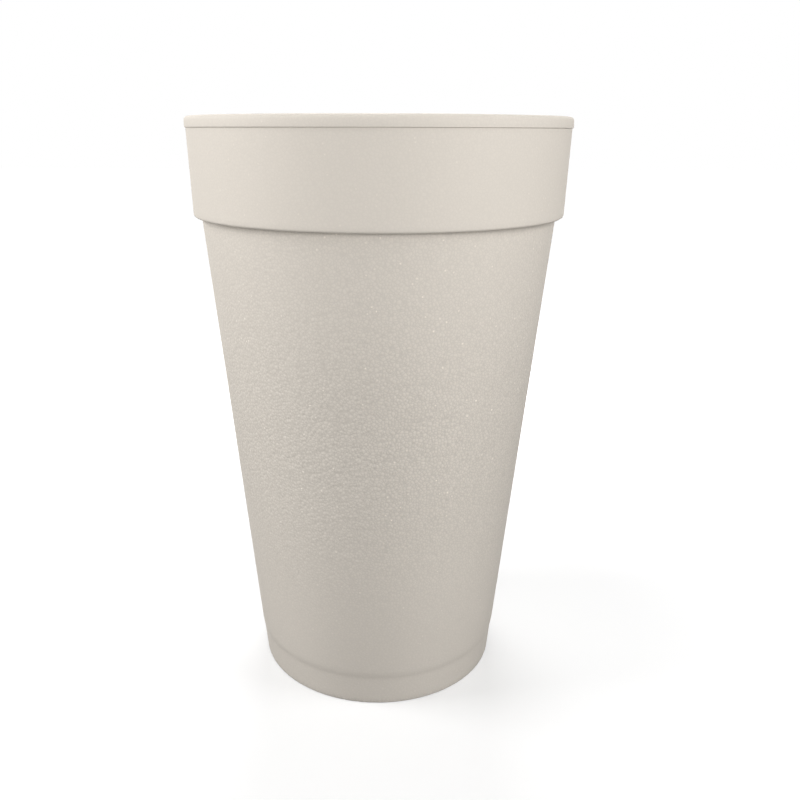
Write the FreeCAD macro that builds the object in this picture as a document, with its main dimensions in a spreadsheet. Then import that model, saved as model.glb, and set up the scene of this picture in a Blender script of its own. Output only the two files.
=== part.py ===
import FreeCAD, Part
import os

import Sketcher

# A one-piece drinking cup moulded from expanded polystyrene beads, in millimetres.
#
# The cup is a shell of revolution about Z and stands on Z = 0. From the bottom up it has a
# base recessed inside a foot ring, a heel that the mould's base plug forms a little inside
# the wall above, a long tapered wall, a deep collar that stands out over a stacking ledge,
# and a square lip that a lid snaps under. The inside is one straight cone, parallel to the
# wall.
#
# Cups nest until the ledge of one sits on the rim of the next. The collar is as deep as that
# takes, so wall, slope and nest_clearance settle it, and no nested cup touches or jams.

SIZES = (
    ("rim_diameter", 95.0, "outside of the lip, the widest part"),
    ("cup_height", 145.5, "foot ring up to the rim"),
    ("base_diameter", 64.0, "wall carried straight down to the table"),
    ("wall_thickness", 2.1, "tapered wall, square to its face"),
    ("floor_thickness", 3.0, "inside floor down to the recessed base"),
    ("rim_thickness", 2.8, "lip's outside to the rim's bore"),
    ("nest_clearance", 0.3, "rim's bore to the wall of a cup standing in it"),
    ("lip_height", 2.7, "square band at the rim"),
    ("lip_overhang", 0.3, "how far the lip stands out over the collar"),
    ("collar_draft", 2.4, "collar's slope from upright, in degrees"),
    ("base_recess", 2.0, "height of the base off the floor"),
    ("recess_draft", 12.0, "slope of the recess's side from upright, in degrees"),
    ("foot_width", 4.3, "foot ring, outside to inside"),
    ("fill_mark_diameter", 9.0, "dimple under the base, where beads are blown in"),
    ("fill_mark_depth", 0.4, "depth of that dimple"),
    ("heel_height", 7.9, "foot ring up to the wall's foot"),
    ("heel_inset", 0.2, "how far the heel stands in from the wall above it"),
    ("wall_foot_rise", 1.2, "height in which the wall's foot slopes in to the heel"),
    ("rim_outer_round", 1.0, "top of the lip, outside"),
    ("rim_inner_round", 0.8, "top of the lip, inside"),
    ("lip_under_round", 0.13, "bottom of the lip"),
    ("lip_root_round", 0.13, "where the lip meets the collar"),
    ("collar_edge_round", 0.7, "bottom of the collar"),
    ("ledge_root_round", 0.4, "where the ledge meets the wall"),
    ("wall_foot_round", 12.0, "where the wall's foot starts to slope in"),
    ("heel_round", 0.5, "foot ring, outside"),
    ("foot_inner_round", 0.8, "foot ring, inside"),
    ("recess_root_round", 0.8, "where the recess's side meets the base"),
    ("floor_corner_round", 4.0, "where the inside wall meets the floor"),
)

# Formulas over the sheet. They place the sharp corners, which are rounded afterwards.
# A wall of even thickness runs from the base diameter to the rim's bore. RISE and RUN are
# those two points' distances apart, and the wall's thickness turns the face a bit more.
RUN = "(sizes.rim_diameter / 2 - sizes.rim_thickness - sizes.base_diameter / 2)"
RISE = "sizes.cup_height"
SLOPE = f"(atan({RUN} / {RISE}) + asin(sizes.wall_thickness / hypot({RUN}; {RISE})))"
WALL_ACROSS = f"(sizes.wall_thickness / cos({SLOPE}))"
NEST_PITCH = f"(({WALL_ACROSS} + sizes.nest_clearance) / tan({SLOPE}))"

BASE_R = "(sizes.base_diameter / 2)"
LIP_R = "(sizes.rim_diameter / 2)"
RIM_Z = "sizes.cup_height"
LIP_Z = "(sizes.cup_height - sizes.lip_height)"
LEDGE_Z = f"(sizes.cup_height - {NEST_PITCH})"
BORE_R = f"({LIP_R} - sizes.rim_thickness)"
WALL_TOP_R = f"({BORE_R} - sizes.nest_clearance)"
COLLAR_TOP_R = f"({LIP_R} - sizes.lip_overhang)"
COLLAR_LOW_R = f"({COLLAR_TOP_R} - ({LIP_Z} - {LEDGE_Z}) * tan(sizes.collar_draft))"
LEDGE_WIDTH = f"({COLLAR_LOW_R} - {WALL_TOP_R})"
FLOOR_Z = "(sizes.base_recess + sizes.floor_thickness)"
FLOOR_R = f"({BASE_R} + {FLOOR_Z} * tan({SLOPE}) - {WALL_ACROSS})"
HEEL_Z = "sizes.heel_height"
HEEL_R = f"({BASE_R} - sizes.heel_inset)"
HEEL_TOP_R = f"({HEEL_R} + {HEEL_Z} * tan({SLOPE}))"
WALL_FOOT_Z = f"({HEEL_Z} + sizes.wall_foot_rise)"
WALL_FOOT_R = f"({BASE_R} + {WALL_FOOT_Z} * tan({SLOPE}))"
WALL_FOOT_OUT = f"({WALL_FOOT_R} - {HEEL_TOP_R})"
WALL_FOOT_LENGTH = f"hypot({WALL_FOOT_OUT}; sizes.wall_foot_rise)"
WALL_FOOT_TURN = f"(atan({WALL_FOOT_OUT} / sizes.wall_foot_rise) - {SLOPE})"
FOOT_R = f"({HEEL_R} - sizes.foot_width)"
RECESS_R = f"({FOOT_R} - sizes.base_recess * tan(sizes.recess_draft))"

AXIS = "0"
FLAT = "0"
SAME = 1e-6

# How much of a face one round may take: a step carries two rounds, the wall's foot one.
STEP_SHARE = 0.45
FOOT_SHARE = 0.9


def sheet_of_sizes(doc):
    """Spreadsheet with one plain number a row, its alias and what it measures."""
    sheet = doc.addObject("Spreadsheet::Sheet", "sizes")
    for row, (alias, number, meaning) in enumerate(SIZES, 1):
        sheet.set(f"A{row}", alias)
        sheet.set(f"B{row}", str(number))
        sheet.set(f"C{row}", meaning)
        sheet.setAlias(f"B{row}", alias)
    doc.recompute()
    return sheet


def origin_plane(body, role):
    """One of the body's own origin planes."""
    return next(plane for plane in body.Origin.OriginFeatures if plane.Role == role)


def tie(sketch, name, kind, corner, formula):
    """Holds one coordinate of a corner to a formula over the sheet."""
    start = sketch.evalExpression(formula)
    sketch.addConstraint(Sketcher.Constraint(kind, -1, 1, corner, 1, start))
    sketch.renameConstraint(sketch.ConstraintCount - 1, name)
    sketch.setExpression(f"Constraints.{name}", formula)


def section(body, name, corners):
    """Closed section on the XZ plane. A corner is (name, radius, height), as formulas."""
    sketch = body.newObject("Sketcher::SketchObject", name)
    sketch.AttachmentSupport = [(origin_plane(body, "XZ_Plane"), "")]
    sketch.MapMode = "FlatFace"
    places = [
        FreeCAD.Vector(body.evalExpression(radius), body.evalExpression(height), 0)
        for _, radius, height in corners
    ]
    for place, following in zip(places, places[1:] + places[:1]):
        sketch.addGeometry(Part.LineSegment(place, following))
    for number, (label, radius, height) in enumerate(corners):
        before = (number - 1) % len(corners)
        sketch.addConstraint(Sketcher.Constraint("Coincident", before, 2, number, 1))
        if radius == AXIS:
            sketch.addConstraint(Sketcher.Constraint("PointOnObject", number, 1, -2))
        else:
            tie(sketch, f"{label}_radius", "DistanceX", number, radius)
        if height == FLAT:
            sketch.addConstraint(Sketcher.Constraint("PointOnObject", number, 1, -1))
        else:
            tie(sketch, f"{label}_height", "DistanceY", number, height)
    return sketch


def spun(body, kind, name, sketch):
    """Full turn of a section about Z: a Revolution adds it, a Groove cuts it away."""
    feature = body.newObject(f"PartDesign::{kind}", name)
    feature.Profile = sketch
    feature.ReferenceAxis = (sketch, ["V_Axis"])
    feature.Angle = 360.0
    body.Document.recompute()
    return feature


def rings(shape, radius, height):
    """Names of the round edges with this radius at this height."""
    return [
        f"Edge{number}"
        for number, edge in enumerate(shape.Edges, 1)
        if isinstance(edge.Curve, Part.Circle)
        and abs(edge.Curve.Radius - radius) < SAME
        and abs(edge.Curve.Center.z - height) < SAME
    ]


def rounded(body, name, radius, height, size):
    """Fillet of the sharp ring at (radius, height), all as formulas over the sheet."""
    base = body.Tip
    edges = rings(base.Shape, body.evalExpression(radius), body.evalExpression(height))
    if not edges:
        raise RuntimeError(f"{name}: no sharp edge to round")
    fillet = body.newObject("PartDesign::Fillet", name)
    fillet.Base = (base, edges)
    fillet.setExpression("Radius", size)
    body.Document.recompute()
    return fillet


def outer_form(body):
    """Solid outside of the cup: foot, heel, tapered wall, ledge, collar and lip."""
    corners = (
        ("foot_centre", AXIS, FLAT),
        ("heel", HEEL_R, FLAT),
        ("heel_top", HEEL_TOP_R, HEEL_Z),
        ("wall_foot", WALL_FOOT_R, WALL_FOOT_Z),
        ("wall_top", WALL_TOP_R, LEDGE_Z),
        ("collar_low", COLLAR_LOW_R, LEDGE_Z),
        ("collar_top", COLLAR_TOP_R, LIP_Z),
        ("lip_low", LIP_R, LIP_Z),
        ("lip_top", LIP_R, RIM_Z),
        ("rim_centre", AXIS, RIM_Z),
    )
    spun(body, "Revolution", "outer_form", section(body, "outer_section", corners))


def drink_space(body):
    """Straight conical inside, from the floor out through the rim."""
    corners = (
        ("floor_centre", AXIS, FLOOR_Z),
        ("floor", FLOOR_R, FLOOR_Z),
        ("bore", BORE_R, RIM_Z),
        ("mouth_centre", AXIS, RIM_Z),
    )
    spun(body, "Groove", "drink_space", section(body, "drink_section", corners))


def recessed_base(body):
    """Drafted recess that leaves the cup standing on a foot ring."""
    corners = (
        ("recess_mouth", AXIS, FLAT),
        ("foot", FOOT_R, FLAT),
        ("recess", RECESS_R, "sizes.base_recess"),
        ("recess_centre", AXIS, "sizes.base_recess"),
    )
    spun(body, "Groove", "recessed_base", section(body, "recess_section", corners))


def fill_mark(body):
    """Round dimple in the middle of the recessed base, cut upwards."""
    sketch = body.newObject("Sketcher::SketchObject", "fill_mark_outline")
    sketch.AttachmentSupport = [(origin_plane(body, "XY_Plane"), "")]
    sketch.MapMode = "FlatFace"
    sketch.setExpression("AttachmentOffset.Base.z", "sizes.base_recess")
    centre = FreeCAD.Vector(0, 0, 0)
    upwards = FreeCAD.Vector(0, 0, 1)
    start = sketch.evalExpression("sizes.fill_mark_diameter / 2")
    sketch.addGeometry(Part.Circle(centre, upwards, start))
    sketch.addConstraint(Sketcher.Constraint("Coincident", 0, 3, -1, 1))
    sketch.addConstraint(Sketcher.Constraint("Diameter", 0, 2 * start))
    sketch.renameConstraint(sketch.ConstraintCount - 1, "across")
    sketch.setExpression("Constraints.across", "sizes.fill_mark_diameter")
    pocket = body.newObject("PartDesign::Pocket", "fill_mark")
    pocket.Profile = sketch
    pocket.Reversed = True
    pocket.setExpression("Length", "sizes.fill_mark_depth")
    body.Document.recompute()


def limited(size, step):
    """A round's size, held to a share of the step that it lies on."""
    return f"min({size}; {step} * {STEP_SHARE})"


def rounds(body):
    """Rounds every corner that a bead mould rounds, small ones within their walls."""
    lip_under = limited("sizes.lip_under_round", "sizes.lip_overhang")
    lip_root = limited("sizes.lip_root_round", "sizes.lip_overhang")
    collar_edge = limited("sizes.collar_edge_round", LEDGE_WIDTH)
    ledge_root = limited("sizes.ledge_root_round", LEDGE_WIDTH)
    foot_room = f"({WALL_FOOT_LENGTH} * {FOOT_SHARE} / tan({WALL_FOOT_TURN} / 2))"
    wall_foot = f"min(sizes.wall_foot_round; {foot_room})"
    rounded(body, "rim_outer_round", LIP_R, RIM_Z, "sizes.rim_outer_round")
    rounded(body, "rim_inner_round", BORE_R, RIM_Z, "sizes.rim_inner_round")
    rounded(body, "lip_under_round", LIP_R, LIP_Z, lip_under)
    rounded(body, "lip_root_round", COLLAR_TOP_R, LIP_Z, lip_root)
    rounded(body, "collar_edge_round", COLLAR_LOW_R, LEDGE_Z, collar_edge)
    rounded(body, "ledge_root_round", WALL_TOP_R, LEDGE_Z, ledge_root)
    rounded(body, "wall_foot_round", WALL_FOOT_R, WALL_FOOT_Z, wall_foot)
    rounded(body, "heel_round", HEEL_R, FLAT, "sizes.heel_round")
    rounded(body, "foot_inner_round", FOOT_R, FLAT, "sizes.foot_inner_round")
    rounded(body, "recess_root_round", RECESS_R, "sizes.base_recess", "sizes.recess_root_round")
    rounded(body, "floor_corner_round", FLOOR_R, FLOOR_Z, "sizes.floor_corner_round")


def checked(doc, bodies):
    """Stops unless every object was computed, every cut cut and every shape is sound."""
    for thing in doc.Objects:
        if {"Invalid", "Error"} & set(thing.State):
            raise RuntimeError(f"{thing.Name}: {thing.State}")
    for body in bodies:
        if body.Shape.isNull() or not body.Shape.isValid() or len(body.Shape.Solids) != 1:
            raise RuntimeError(f"{body.Label}: not one valid solid")
        volume = 0.0
        for feature in (f for f in body.Group if f.isDerivedFrom("PartDesign::Feature")):
            if abs(feature.Shape.Volume - volume) < SAME:
                raise RuntimeError(f"{feature.Name}: changes nothing")
            volume = feature.Shape.Volume


doc = FreeCAD.newDocument("foam_cup")
sheet_of_sizes(doc)

cup = doc.addObject("PartDesign::Body", "foam_cup")
cup.Label = "foam_cup"
outer_form(cup)
drink_space(cup)
recessed_base(cup)
fill_mark(cup)
rounds(cup)
cup.Placement = FreeCAD.Placement()

doc.recompute()
checked(doc, [cup])
os.makedirs("parts", exist_ok=True)
cup.Shape.exportStep(f"parts/{cup.Label}.step")

print("collar depth and nesting pitch %.3f mm" % cup.evalExpression(NEST_PITCH))
print("ledge width %.3f mm" % cup.evalExpression(LEDGE_WIDTH))
print("wall top radius %.3f mm" % cup.evalExpression(WALL_TOP_R))
print("foam volume %.1f mm3" % cup.Shape.Volume)
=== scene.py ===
import math

import bmesh
import bpy
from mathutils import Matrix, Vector, noise


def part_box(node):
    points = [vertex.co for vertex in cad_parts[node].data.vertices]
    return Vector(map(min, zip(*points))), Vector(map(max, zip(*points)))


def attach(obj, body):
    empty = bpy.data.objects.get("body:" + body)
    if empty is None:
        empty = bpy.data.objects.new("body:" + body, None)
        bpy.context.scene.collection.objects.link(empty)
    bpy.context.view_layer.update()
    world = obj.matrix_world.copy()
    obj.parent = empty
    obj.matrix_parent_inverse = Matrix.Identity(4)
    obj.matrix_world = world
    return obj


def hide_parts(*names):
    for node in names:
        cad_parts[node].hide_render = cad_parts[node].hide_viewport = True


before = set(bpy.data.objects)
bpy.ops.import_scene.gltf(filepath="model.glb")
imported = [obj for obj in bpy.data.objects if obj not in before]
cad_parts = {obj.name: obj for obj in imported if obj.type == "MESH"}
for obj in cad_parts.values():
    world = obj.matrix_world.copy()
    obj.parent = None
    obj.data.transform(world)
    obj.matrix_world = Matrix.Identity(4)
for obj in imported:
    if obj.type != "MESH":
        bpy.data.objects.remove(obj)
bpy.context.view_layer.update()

# A drinking cup moulded from expanded polystyrene beads, stood empty on a pale table.
#
# The shell is one piece. Its section is drawn from a few sharp corners, each corner is
# bevelled round, and the section is spun about Z. The finish is one foam material, whose
# beads show most on the tapered wall and least on the collar and lip.

MM = 0.001
_, cup_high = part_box("foam_cup")

# --- Sizes of the moulding, in metres -------------------------------------------------

RIM_Z = cup_high.z
LIP_R = round(cup_high.x / MM, 1) * MM
BASE_R = 32.0 * MM
WALL = 2.1 * MM
FLOOR = 3.0 * MM
RIM = 2.8 * MM
NEST_CLEARANCE = 0.3 * MM  # between a cup's wall and the bore of the cup it stands in
LIP_HEIGHT = 2.7 * MM
LIP_OVERHANG = 0.3 * MM
COLLAR_DRAFT = math.radians(2.4)
BASE_RECESS = 2.0 * MM
RECESS_DRAFT = math.radians(12.0)
FOOT_WIDTH = 4.3 * MM
FILL_MARK_R = 4.5 * MM
FILL_MARK_DEPTH = 0.4 * MM
HEEL_Z = 7.9 * MM
HEEL_INSET = 0.2 * MM
WALL_FOOT_RISE = 1.2 * MM

FILL_MARK_ROUND = 0.15 * MM
FOOT_INNER_ROUND = 0.8 * MM
HEEL_ROUND = 0.5 * MM
WALL_FOOT_ROUND = 12.0 * MM
WALL_TOP_ROUND = 0.4 * MM
COLLAR_LOW_ROUND = 0.7 * MM
LIP_ROUND = 0.13 * MM
RIM_OUTER_ROUND = 1.0 * MM
RIM_INNER_ROUND = 0.8 * MM
FLOOR_ROUND = 4.0 * MM

BORE_R = LIP_R - RIM
RUN = BORE_R - BASE_R
SLOPE = math.atan(RUN / RIM_Z) + math.asin(WALL / math.hypot(RUN, RIM_Z))
WALL_ACROSS = WALL / math.cos(SLOPE)
NEST_PITCH = (WALL_ACROSS + NEST_CLEARANCE) / math.tan(SLOPE)
LIP_Z = RIM_Z - LIP_HEIGHT
LEDGE_Z = RIM_Z - NEST_PITCH
WALL_TOP_R = BORE_R - NEST_CLEARANCE
COLLAR_TOP_R = LIP_R - LIP_OVERHANG
COLLAR_LOW_R = COLLAR_TOP_R - (LIP_Z - LEDGE_Z) * math.tan(COLLAR_DRAFT)
FLOOR_Z = BASE_RECESS + FLOOR
HEEL_R = BASE_R - HEEL_INSET
FOOT_R = HEEL_R - FOOT_WIDTH
RECESS_R = FOOT_R - BASE_RECESS * math.tan(RECESS_DRAFT)

AROUND = 360
OUTSIDE_ROW = 1.0 * MM  # longest step along the section, on the outside
INSIDE_ROW = 3.5 * MM   # the same on the inside
ROUND_STEPS = 4
WELD = 1e-7


def wall_r(height):
    """Radius of the tapered wall's outside at a height."""
    return BASE_R + height * math.tan(SLOPE)


def is_outside(radius, height):
    """True on the face of the shell that is turned away from the drink."""
    return radius > wall_r(height) - WALL_ACROSS / 2


# --- The shell ------------------------------------------------------------------------


def shell_corners():
    """Sharp corners of the section, underside first: (radius, height, round)."""
    wall_foot_z = HEEL_Z + WALL_FOOT_RISE
    return (
        (0, BASE_RECESS + FILL_MARK_DEPTH, 0),
        (FILL_MARK_R, BASE_RECESS + FILL_MARK_DEPTH, FILL_MARK_ROUND),
        (FILL_MARK_R, BASE_RECESS, FILL_MARK_ROUND),
        (RECESS_R, BASE_RECESS, FOOT_INNER_ROUND),
        (FOOT_R, 0, FOOT_INNER_ROUND),
        (HEEL_R, 0, HEEL_ROUND),
        (wall_r(HEEL_Z) - HEEL_INSET, HEEL_Z, 0),
        (wall_r(wall_foot_z), wall_foot_z, WALL_FOOT_ROUND),
        (WALL_TOP_R, LEDGE_Z, WALL_TOP_ROUND),
        (COLLAR_LOW_R, LEDGE_Z, COLLAR_LOW_ROUND),
        (COLLAR_TOP_R, LIP_Z, LIP_ROUND),
        (LIP_R, LIP_Z, LIP_ROUND),
        (LIP_R, RIM_Z, RIM_OUTER_ROUND),
        (BORE_R, RIM_Z, RIM_INNER_ROUND),
        (wall_r(FLOOR_Z) - WALL_ACROSS, FLOOR_Z, FLOOR_ROUND),
        (0, FLOOR_Z, 0),
    )


def drawn_section(shell, corners):
    """Section of the shell in the XZ plane, with its corners bevelled round."""
    points = [shell.verts.new((radius, 0, height)) for radius, height, _ in corners]
    for here, there in zip(points, points[1:]):
        shell.edges.new((here, there))
    turns = []
    for before, point, after, (_, _, size) in zip(points, points[1:], points[2:], corners[1:]):
        turn = (point.co - before.co).angle(after.co - point.co)
        turns.append((point, size * math.tan(turn / 2)))
    for point, reach in turns:
        if not reach:
            continue
        bmesh.ops.bevel(
            shell, geom=[point], affect="VERTICES", offset=reach, offset_type="OFFSET",
            segments=ROUND_STEPS, profile=0.5, material=-1,
        )
    for edge in list(shell.edges):
        middle = (edge.verts[0].co + edge.verts[1].co) / 2
        row = OUTSIDE_ROW if is_outside(middle.x, middle.z) else INSIDE_ROW
        cuts = int(edge.calc_length() / row)
        if cuts:
            bmesh.ops.subdivide_edges(shell, edges=[edge], cuts=cuts)


def spun_shell():
    """The whole shell: its section turned about Z, closed at both poles."""
    shell = bmesh.new()
    drawn_section(shell, shell_corners())
    bmesh.ops.spin(
        shell, geom=shell.verts[:] + shell.edges[:], cent=(0, 0, 0), axis=(0, 0, 1),
        dvec=(0, 0, 0), angle=math.tau, steps=AROUND, use_merge=True,
    )
    bmesh.ops.remove_doubles(shell, verts=shell.verts[:], dist=WELD)
    bmesh.ops.recalc_face_normals(shell, faces=shell.faces[:])
    return shell


# --- Moulded relief -------------------------------------------------------------------

PRESSED = 0.20              # how far beads show where the mould pressed them flat
RELIEF_INSIDE = 0.55        # how far they show on the inside
RELIEF_UNDER = 0.7          # and on the foot ring
RELIEF_AT_LEDGE = 0.35      # share of the climb from pressed to full that the ledge still has
LEDGE_FADE = 2.0 * MM       # the relief starts to grow this far under the ledge
WALL_MIDDLE_Z = 72.0 * MM
UNDER_Z = 0.5 * MM          # what lies lower belongs to the foot ring
FOOT_FLAT_Z = 0.2 * MM      # what lies lower stays flat, for the cup to stand on
SWELL = 0.035 * MM          # the wall's slow swells, crest to middle
SWELL_LENGTH = 22.0 * MM
DIMPLE = 0.012 * MM         # shallow dents of a few beads each
DIMPLE_LENGTH = 2.6 * MM


def eased(value, low, high):
    """0 below low, 1 above high, and a smooth climb between them."""
    share = min(max((value - low) / (high - low), 0), 1)
    return share * share * (3 - 2 * share)


def bead_relief(point):
    """How strongly the beads stand out at a point of the shell, from 0 to 1."""
    if not is_outside(math.hypot(point.x, point.y), point.z):
        return RELIEF_INSIDE
    if point.z < UNDER_Z:
        return RELIEF_UNDER
    if point.z > LEDGE_Z:
        return PRESSED
    below = eased(point.z, HEEL_Z, WALL_MIDDLE_Z)
    above = eased(point.z, LEDGE_Z - LEDGE_FADE, WALL_MIDDLE_Z)
    return PRESSED + (1 - PRESSED) * min(below, RELIEF_AT_LEDGE + (1 - RELIEF_AT_LEDGE) * above)


def moulded(shell):
    """Press the slow swells and the bead dimples into the shell, along its normals."""
    shell.normal_update()
    moves = []
    for vert in shell.verts:
        swell = SWELL * noise.noise(vert.co / SWELL_LENGTH)
        dimple = DIMPLE * bead_relief(vert.co) * noise.noise(vert.co / DIMPLE_LENGTH)
        moves.append(vert.normal * (swell + dimple - SWELL))
    for vert, move in zip(shell.verts, moves):
        if vert.co.z > FOOT_FLAT_Z:
            vert.co += move
    return shell


def in_scene(name, data):
    """New object in the scene that carries the data."""
    thing = bpy.data.objects.new(name, data)
    bpy.context.scene.collection.objects.link(thing)
    return thing


def finished(shell, name, material):
    """Smooth-shaded object that carries the mesh where it is."""
    mesh = bpy.data.meshes.new(name)
    shell.to_mesh(mesh)
    shell.free()
    relief = mesh.attributes.new("bead_relief", "FLOAT", "POINT")
    relief.data.foreach_set("value", [bead_relief(vert.co) for vert in mesh.vertices])
    mesh.materials.append(material)
    mesh.shade_smooth()
    return in_scene(name, mesh)


# --- Nodes ----------------------------------------------------------------------------


def grey(level):
    """Colour with no hue."""
    return (level, level, level, 1)


class Nodes:
    """Shader nodes, laid down one after another and joined as they are made."""

    def __init__(self, tree):
        self.tree = tree

    def put(self, socket, value):
        """Join a socket to another one, or set it where its value is the same all over."""
        if isinstance(value, bpy.types.NodeSocket):
            self.tree.links.new(value, socket)
        else:
            socket.default_value = value

    def add(self, kind, settings=None, **joins):
        """New node. A join has its socket's name, or the letter i and its number."""
        node = self.tree.nodes.new(kind)
        for name, value in (settings or {}).items():
            setattr(node, name, value)
        for name, value in joins.items():
            key = int(name[1:]) if name[1:].isdigit() else name.replace("_", " ")
            self.put(node.inputs[key], value)
        return node

    def place(self):
        """Where a point lies on its own object, in metres."""
        return self.add("ShaderNodeTexCoord").outputs["Object"]

    def maths(self, operation, first, second):
        """One sum on two numbers."""
        return self.add("ShaderNodeMath", {"operation": operation}, i0=first, i1=second).outputs[0]

    def scaled(self, vector, factor):
        """A vector or colour made longer or shorter."""
        node = self.add("ShaderNodeVectorMath", {"operation": "SCALE"}, i0=vector, i3=factor)
        return node.outputs[0]

    def cloud(self, place, size, detail):
        """Soft noise from 0 to 1 with lumps of a size in metres."""
        return self.add("ShaderNodeTexNoise", Vector=place, Scale=1 / size, Detail=detail).outputs["Fac"]

    def ramp(self, value, low, high, first, last):
        """A smooth run from first to last while the value goes from low to high."""
        return self.add(
            "ShaderNodeMapRange", {"interpolation_type": "SMOOTHSTEP"},
            Value=value, i1=low, i2=high, i3=first, i4=last,
        ).outputs["Result"]

    def looked_at(self):
        """1 for what the eye meets, straight or through gloss or glass, and else 0."""
        path = self.add("ShaderNodeLightPath").outputs
        seen = self.maths("MAXIMUM", path["Is Camera Ray"], path["Is Glossy Ray"])
        return self.maths("MAXIMUM", seen, path["Is Transmission Ray"])


def new_material(name):
    """New material and its nodes."""
    material = bpy.data.materials.new(name)
    material.use_nodes = True
    return material, Nodes(material.node_tree)


# --- Foam -----------------------------------------------------------------------------

FOAM_WHITE = (0.795, 0.737, 0.661)
BEAD = 0.76 * MM            # across one bead, as it shows on the wall
BEAD_DOME = 0.09 * MM       # a bead's middle above the seams round it
BEAD_MELT = 0.35            # how softly one bead runs into the next
JITTER = 0.40               # how far a bead strays from even packing, in beads
JITTER_RATE = 0.4           # how often that straying changes, per bead
LUMP = 0.58 * MM            # uneven spots between and across the beads
LUMP_HEIGHT = 0.04 * MM
SKIN = 0.35 * MM            # fine roughness of the skin
SKIN_HEIGHT = 0.004 * MM
SEAM_SHADE = 0.87           # brightness left in the seams between beads: their own darker tone and painted shade in the hollows between the domes
SEAM_REACH = 0.22           # a seam's shade reaches this far into a bead, in beads
BEAD_SHADES = 0.06          # spread of brightness from bead to bead
CLOUD_SHADES = 0.03         # spread of brightness over the whole cup
CLOUD = 30.0 * MM
SHINE = 0.1                 # bead foam is dry, so it mirrors little of what is round it
ROUGHNESS = 0.60            # of a bead's skin
GLOSS_SPREAD = 0.12         # spread of that roughness over patches of the wall
GLOSS_PATCH = 6.0 * MM
SEAM_ROUGHER = 0.9          # how much rougher the seams are than the beads
UNGLINTED_SHARE = 0.972         # share of the beads that have no painted glint
PAINTED_GLINT = 0.55                # how much brighter the middle of a painted glint is, painted into the colour
PAINTED_GLINT_SIZE = 0.38           # a painted glint's radius, in beads


def foam():
    """Moulded bead foam: warm white, with packed beads, a few of which have a glint painted into their
    colour.
    """
    material, nodes = new_material("bead_foam")
    shader = material.node_tree.nodes["Principled BSDF"].inputs
    place = nodes.place()
    relief = nodes.add("ShaderNodeAttribute", {"attribute_name": "bead_relief"}).outputs["Fac"]

    def packed(feature, **more):
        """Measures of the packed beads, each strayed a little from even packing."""
        settings = {"feature": feature}
        return nodes.add("ShaderNodeTexVoronoi", settings, Vector=where, Scale=1 / BEAD, **more).outputs

    stray = nodes.add("ShaderNodeTexNoise", Vector=place, Scale=JITTER_RATE / BEAD, Detail=0.0)
    stray = nodes.scaled(stray.outputs["Color"], JITTER * BEAD)
    where = nodes.add("ShaderNodeVectorMath", {"operation": "ADD"}, i0=place, i1=stray).outputs[0]
    beads = packed("F1")
    soft = packed("SMOOTH_F1", Smoothness=BEAD_MELT)
    seams = packed("DISTANCE_TO_EDGE")

    dome = nodes.maths("MULTIPLY", soft["Distance"], -BEAD_DOME)
    lump = nodes.maths("MULTIPLY", nodes.cloud(place, LUMP, detail=1.0), LUMP_HEIGHT)
    raised = nodes.maths("MULTIPLY", nodes.maths("ADD", dome, lump), relief)
    skin = nodes.maths("MULTIPLY", nodes.cloud(place, SKIN, detail=2.0), SKIN_HEIGHT)
    height = nodes.maths("ADD", raised, skin)
    bump = nodes.add("ShaderNodeBump", Height=height, Distance=1.0, Strength=1.0)
    nodes.put(shader["Normal"], bump.outputs["Normal"])

    # The seams are darkened in the colour: partly their own darker tone, partly painted shade where the
    # domed beads meet in hollows.
    seam_tone_and_shade = nodes.ramp(seams["Distance"], 0.0, SEAM_REACH, SEAM_SHADE - 1, 0.0)
    chance = nodes.add("ShaderNodeSeparateColor", Color=beads["Color"]).outputs
    own = nodes.maths("MULTIPLY", nodes.maths("SUBTRACT", chance["Red"], 0.5), BEAD_SHADES)
    # A few beads get a painted glint: a bright spot in the base colour that stands in for light caught
    # by a facet.
    glint_bead = nodes.maths("GREATER_THAN", chance["Green"], UNGLINTED_SHARE)
    painted_glint_spot = nodes.ramp(beads["Distance"], 0.0, PAINTED_GLINT_SIZE, PAINTED_GLINT, 0.0)
    shade = nodes.maths("ADD", nodes.maths("ADD", seam_tone_and_shade, own), nodes.maths("MULTIPLY", glint_bead, painted_glint_spot))
    shade = nodes.maths("MULTIPLY", shade, relief)
    cloud = nodes.maths("SUBTRACT", nodes.cloud(place, CLOUD, detail=2.0), 0.5)
    cloud = nodes.maths("MULTIPLY", cloud, CLOUD_SHADES)
    shade = nodes.maths("ADD", nodes.maths("ADD", shade, cloud), 1.0)
    nodes.put(shader["Base Color"], nodes.scaled(FOAM_WHITE, shade))

    gloss = nodes.maths("SUBTRACT", nodes.cloud(place, GLOSS_PATCH, detail=3.0), 0.5)
    gloss = nodes.maths("MULTIPLY", gloss, GLOSS_SPREAD)
    worn = nodes.maths("MULTIPLY", nodes.maths("MULTIPLY", seam_tone_and_shade, relief), -SEAM_ROUGHER)
    nodes.put(shader["Roughness"], nodes.maths("ADD", nodes.maths("ADD", gloss, worn), ROUGHNESS))
    nodes.put(shader["Specular IOR Level"], SHINE)
    return material


# --- Table ----------------------------------------------------------------------------

TABLE_REACH = 3.0           # middle of the table to its edge, in metres
TABLE_DROP = 0.02 * MM      # the table lies this far under the foot ring, so they don't coincide
TABLE_BOUNCE = 0.08         # share of the light that the table sends back to the cup
TABLE_SEEN = 0.6            # how pale the table's lit paint looks, under its own glow
GLOW_NEAR = 0.43            # glow beside the cup, with which the lit paint just looks white
SHADOW_REACH = 0.07         # the glow stays at that as far as this from the cup's axis, in metres
WHITE_FROM = 0.26           # and is white on its own from here on, in metres


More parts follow.
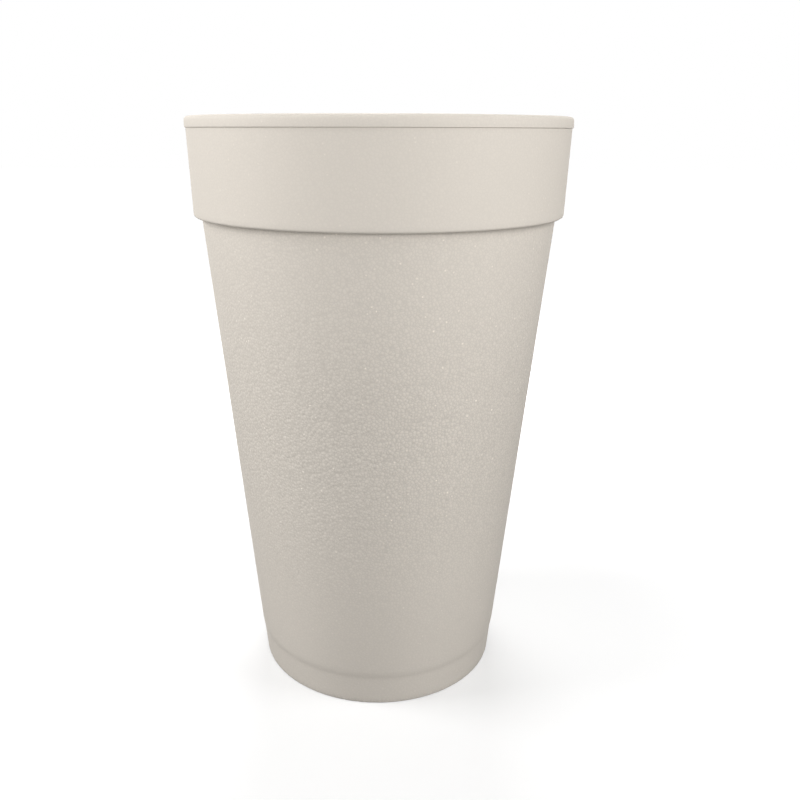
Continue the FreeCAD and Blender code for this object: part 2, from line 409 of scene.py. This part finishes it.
def table():
    """A wide pale table that glows white to the eye and keeps the cup's soft shadow."""
    bed = bmesh.new()
    bmesh.ops.create_grid(bed, x_segments=1, y_segments=1, size=TABLE_REACH)
    bmesh.ops.translate(bed, verts=bed.verts[:], vec=(0, 0, -TABLE_DROP))
    mesh = bpy.data.meshes.new("table_top")
    bed.to_mesh(mesh)
    bed.free()
    material, nodes = new_material("table_white")
    away = nodes.add("ShaderNodeVectorMath", {"operation": "LENGTH"}, i0=nodes.place()).outputs["Value"]
    glow = nodes.ramp(away, SHADOW_REACH, WHITE_FROM, GLOW_NEAR, 1.0)
    lit = nodes.add("ShaderNodeBsdfDiffuse", Color=grey(TABLE_SEEN)).outputs[0]
    shine = nodes.add("ShaderNodeEmission", Strength=glow).outputs[0]
    shown = nodes.add("ShaderNodeAddShader", i0=lit, i1=shine).outputs[0]
    bounce = nodes.add("ShaderNodeBsdfDiffuse", Color=grey(TABLE_BOUNCE)).outputs[0]
    both = nodes.add("ShaderNodeMixShader", Fac=nodes.looked_at(), i1=bounce, i2=shown).outputs[0]
    tree = material.node_tree
    tree.nodes.remove(tree.nodes["Principled BSDF"])
    nodes.put(tree.nodes["Material Output"].inputs["Surface"], both)
    mesh.materials.append(material)
    in_scene("table_top", mesh)


# --- Light ----------------------------------------------------------------------------

# Soft boxes: name, degrees round from the front, degrees above level, watts.
LAMPS = (
    ("left_box", -85, 22, 1.44),
    ("right_box", 72, 22, 0.89),
    ("front_box", 4, 10, 1.02),
    ("back_box", 180, 50, 1.35),
)
LAMP_AWAY = 0.42                 # from the point they all face, in metres
LAMP_SIZE = (0.22, 0.30)         # width and height, in metres
LAMP_AIM = Vector((0, 0, 0.12))  # on the axis, at the height of the wall's top
ROOM = 0.05                      # strength of the even light from all round


def soft_box(name, around, above, watts):
    """A rectangle of light that stands off the cup and faces it."""
    around = math.radians(around)
    above = math.radians(above)
    level = math.cos(above)
    way = Vector((math.sin(around) * level, -math.cos(around) * level, math.sin(above)))
    light = bpy.data.lights.new(name, "AREA")
    light.shape = "RECTANGLE"
    light.size, light.size_y = LAMP_SIZE
    light.energy = watts
    lamp = in_scene(name, light)
    lamp.location = LAMP_AIM + way * LAMP_AWAY
    lamp.rotation_euler = way.to_track_quat("Z", "Y").to_euler()


def studio():
    """Four soft boxes round the cup and a dim even room that looks white."""
    for name, around, above, watts in LAMPS:
        soft_box(name, around, above, watts)
    world = bpy.data.worlds.new("studio")
    bpy.context.scene.world = world
    world.use_nodes = True
    nodes = Nodes(world.node_tree)
    strength = nodes.add("ShaderNodeMapRange", Value=nodes.looked_at(), To_Min=ROOM, To_Max=1.0)
    room = world.node_tree.nodes["Background"].inputs
    nodes.put(room["Strength"], strength.outputs["Result"])
    nodes.put(room["Color"], grey(1))


# --- Camera ---------------------------------------------------------------------------

SENSOR_WIDTH = 36.0         # in millimetres, as is the lens
LENS = 37.43
LENS_SHIFT = (0.0264, -0.0583)
NEAREST = 0.01
EYE_AWAY = 215.1 * MM       # from the cup's axis
EYE_UNDER_RIM = 3.36 * MM
TIP_DOWN = 14.98            # degrees
ROLL = -0.16                # degrees


def camera():
    """Just under the rim's height and close to the cup, tipped down."""
    data = bpy.data.cameras.new("camera")
    data.sensor_width = SENSOR_WIDTH
    data.lens = LENS
    data.shift_x, data.shift_y = LENS_SHIFT
    data.clip_start = NEAREST
    eye = in_scene("camera", data)
    eye.location = (0, -EYE_AWAY, RIM_Z - EYE_UNDER_RIM)
    eye.rotation_euler = (math.radians(90 - TIP_DOWN), math.radians(ROLL), 0)
    bpy.context.scene.camera = eye


# --- The scene ------------------------------------------------------------------------

camera()
studio()
table()
cup = finished(moulded(spun_shell()), "cup_shell", foam())
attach(cup, "root")
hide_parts("foam_cup")

bpy.context.scene.view_settings.view_transform = "Standard"
